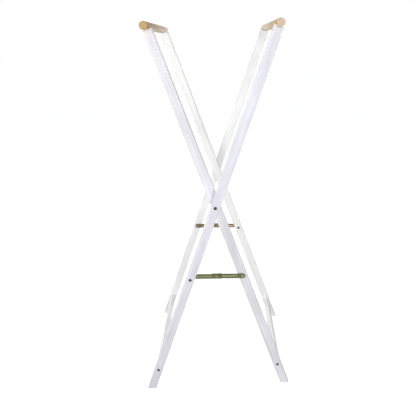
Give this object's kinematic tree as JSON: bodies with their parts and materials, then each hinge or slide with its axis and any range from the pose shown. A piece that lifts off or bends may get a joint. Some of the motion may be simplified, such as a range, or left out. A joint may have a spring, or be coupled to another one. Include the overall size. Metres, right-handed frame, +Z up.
{
  "type": "folding clothes rack",
  "caption": "Folding clothes rack: crossed white timber frames hinged at the middle, a round wooden rail on each, flat stretchers near the feet and folding metal stays that lock it open.",
  "frame": {"origin": "centre of the footprint on the floor, below the pivot line", "axes": "+Z up; +Y along the rails and the pivot line; +X across the crossed frames, towards the top of the outer frame"},
  "size_m": [0.613, 0.74, 1.501],
  "materials": {
    "white_paint": "satin white paint on planed pine, faint grain, edges slightly eased",
    "natural_wood": "oiled hardwood, fine lengthwise grain, end grain at both ends",
    "beech": "bare beech",
    "dark_steel": "dark brown lacquered steel, low sheen",
    "yellow_steel": "pressed steel, yellow-green passivated zinc",
    "pale_steel": "bright zinc plated steel",
    "nylon": "natural nylon"
  },
  "bodies": {
    "outer_frame": {"outer_post_near": "white_paint", "outer_post_far": "white_paint", "outer_rail": "natural_wood", "outer_stretcher": "white_paint", "outer_rail_dowels": "beech", "outer_stretcher_dowels": "beech", "outer_stretcher_bolts": "dark_steel", "outer_barrel_nuts": "pale_steel", "outer_stay_pins": "dark_steel", "outer_stay_washers": "pale_steel", "outer_stay_nuts": "pale_steel", "pivot_spacers": "nylon"},
    "inner_frame": {"inner_post_near": "white_paint", "inner_post_far": "white_paint", "inner_rail": "natural_wood", "inner_stretcher": "white_paint", "inner_rail_dowels": "beech", "inner_stretcher_dowels": "beech", "inner_stretcher_bolts": "dark_steel", "inner_barrel_nuts": "pale_steel", "inner_stay_pins": "dark_steel", "inner_stay_washers": "pale_steel", "inner_stay_nuts": "pale_steel", "pivot_bolts": "dark_steel", "pivot_inserts": "pale_steel"},
    "outer_stay_near": {"outer_arm_near": "yellow_steel", "outer_rivet_near": "pale_steel"},
    "outer_stay_far": {"outer_arm_far": "yellow_steel", "outer_rivet_far": "pale_steel"},
    "inner_stay_near": {"inner_arm_near": "yellow_steel", "inner_rivet_near": "pale_steel"},
    "inner_stay_far": {"inner_arm_far": "yellow_steel", "inner_rivet_far": "pale_steel"}
  },
  "joints": [
    {"name": "fold", "type": "hinge", "parent": "outer_frame", "child": "inner_frame", "pos_m": [0, 0, 0.813], "axis": [0, 1, 0], "range_deg": [0, 36.2]},
    {"name": "outer_stay_near_pivot", "type": "hinge", "parent": "outer_frame", "child": "outer_stay_near", "pos_m": [-0.10682, 0, 0.51136], "axis": [0, -1, 0], "range_deg": [0, 68]},
    {"name": "outer_stay_far_pivot", "type": "hinge", "parent": "outer_frame", "child": "outer_stay_far", "pos_m": [-0.10682, 0, 0.51136], "axis": [0, -1, 0], "range_deg": [0, 68]},
    {"name": "inner_stay_near_pivot", "type": "hinge", "parent": "inner_frame", "child": "inner_stay_near", "pos_m": [0.10682, 0, 0.51136], "axis": [0, 1, 0], "range_deg": [0, 68]},
    {"name": "inner_stay_far_pivot", "type": "hinge", "parent": "inner_frame", "child": "inner_stay_far", "pos_m": [0.10682, 0, 0.51136], "axis": [0, 1, 0], "range_deg": [0, 68]}
  ],
  "couplings": [
    {"joint": "outer_stay_near_pivot", "follows": "fold", "ratio": 1.8702},
    {"joint": "outer_stay_far_pivot", "follows": "fold", "ratio": 1.8702},
    {"joint": "inner_stay_near_pivot", "follows": "fold", "ratio": 1.8702},
    {"joint": "inner_stay_far_pivot", "follows": "fold", "ratio": 1.8702}
  ]
}
